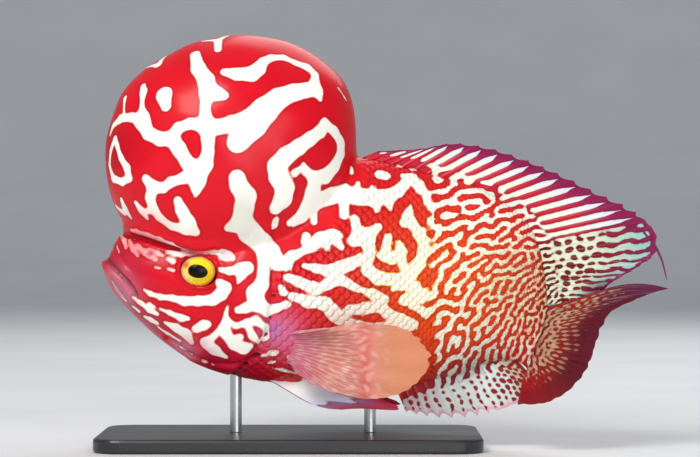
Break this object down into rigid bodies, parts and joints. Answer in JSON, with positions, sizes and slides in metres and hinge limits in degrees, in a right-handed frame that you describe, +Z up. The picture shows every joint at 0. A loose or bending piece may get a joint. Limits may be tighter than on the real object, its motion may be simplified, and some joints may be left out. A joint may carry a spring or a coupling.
{
  "type": "flowerhorn cichlid",
  "caption": "Deep-bodied cichlid with a very large round nuchal hump and long trailing fins, held over a flat base on short rods.",
  "frame": {"origin": "centre of the underside of the stand's base", "axes": "+Z up, -X towards the fish's snout, -Y towards the fish's left side"},
  "size_m": [0.281, 0.1, 0.2055],
  "materials": {
    "skin": "wet scaled skin, red with warm white worm marks",
    "eye": "clear glossy eye, yellow iris and black pupil",
    "fin": "rayed fin web, dark red and pale blue-white",
    "clear_fin": "thin see-through coral fin web",
    "stand_base": "satin black base plate",
    "stand_rod": "satin steel rod"
  },
  "bodies": {
    "root": {"head": "skin", "jaw": "skin", "hump": "skin", "gill_cover_left": "skin", "gill_cover_right": "skin", "trunk": "skin", "tail_stalk": "skin", "eye_left": "eye", "eye_right": "eye", "fin_dorsal": "fin", "fin_anal": "fin", "fin_caudal": "fin", "fin_pectoral_left": "clear_fin", "fin_pectoral_right": "clear_fin", "fin_pelvic_left": "fin", "fin_pelvic_right": "fin", "stand_base": "stand_base", "stand_rod_front": "stand_rod", "stand_rod_rear": "stand_rod"}
  },
  "joints": []
}
